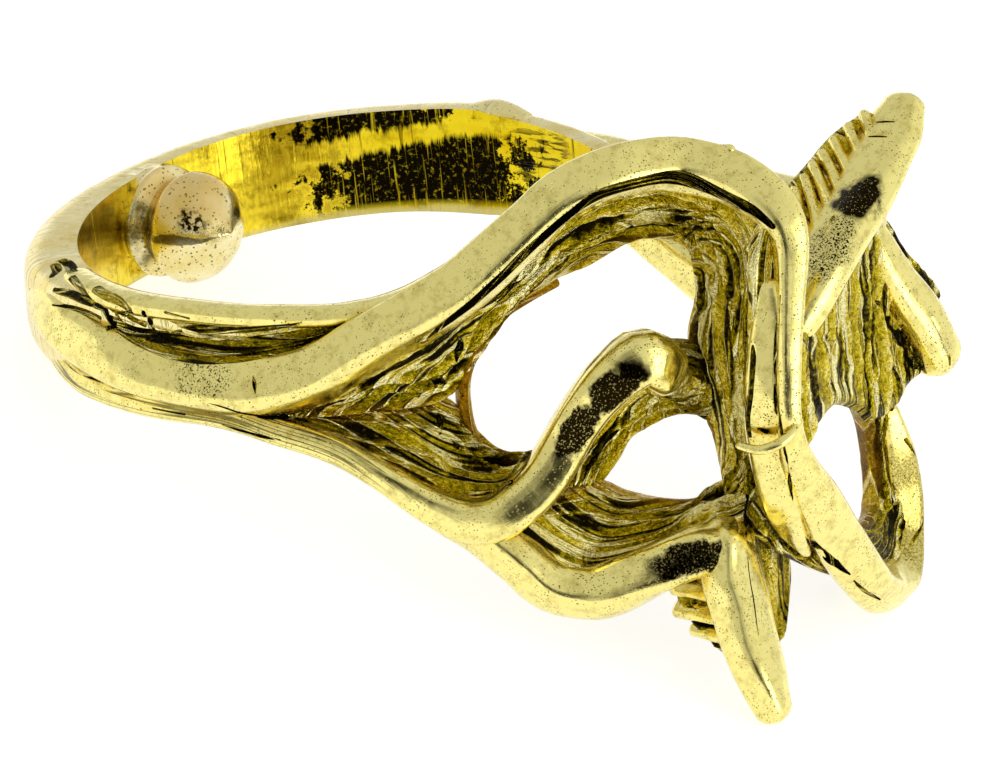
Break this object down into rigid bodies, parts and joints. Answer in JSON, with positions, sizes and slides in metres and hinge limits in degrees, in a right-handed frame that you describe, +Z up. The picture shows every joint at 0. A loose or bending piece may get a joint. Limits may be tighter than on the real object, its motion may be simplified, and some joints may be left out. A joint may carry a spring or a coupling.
{
  "type": "finger ring",
  "caption": "Cast gold ring whose band splits into branching strands that loop, fold and hook into an openwork head, with a sizing bead inside the back of the band.",
  "frame": {"origin": "centre of the finger hole, at the middle of the band's width", "axes": "the ring lies as it rests on a table, +Z up; +X out through the head, +Y across the finger towards the far side; the finger's axis leans 21.5 degrees back from +Z"},
  "size_m": [0.0287, 0.0231, 0.0152],
  "materials": {
    "yellow_gold": "cast 18 carat yellow gold, hand polished on the strands and left rough and toned in the webs"
  },
  "bodies": {
    "root": {"cast_ring": "yellow_gold"}
  },
  "joints": []
}
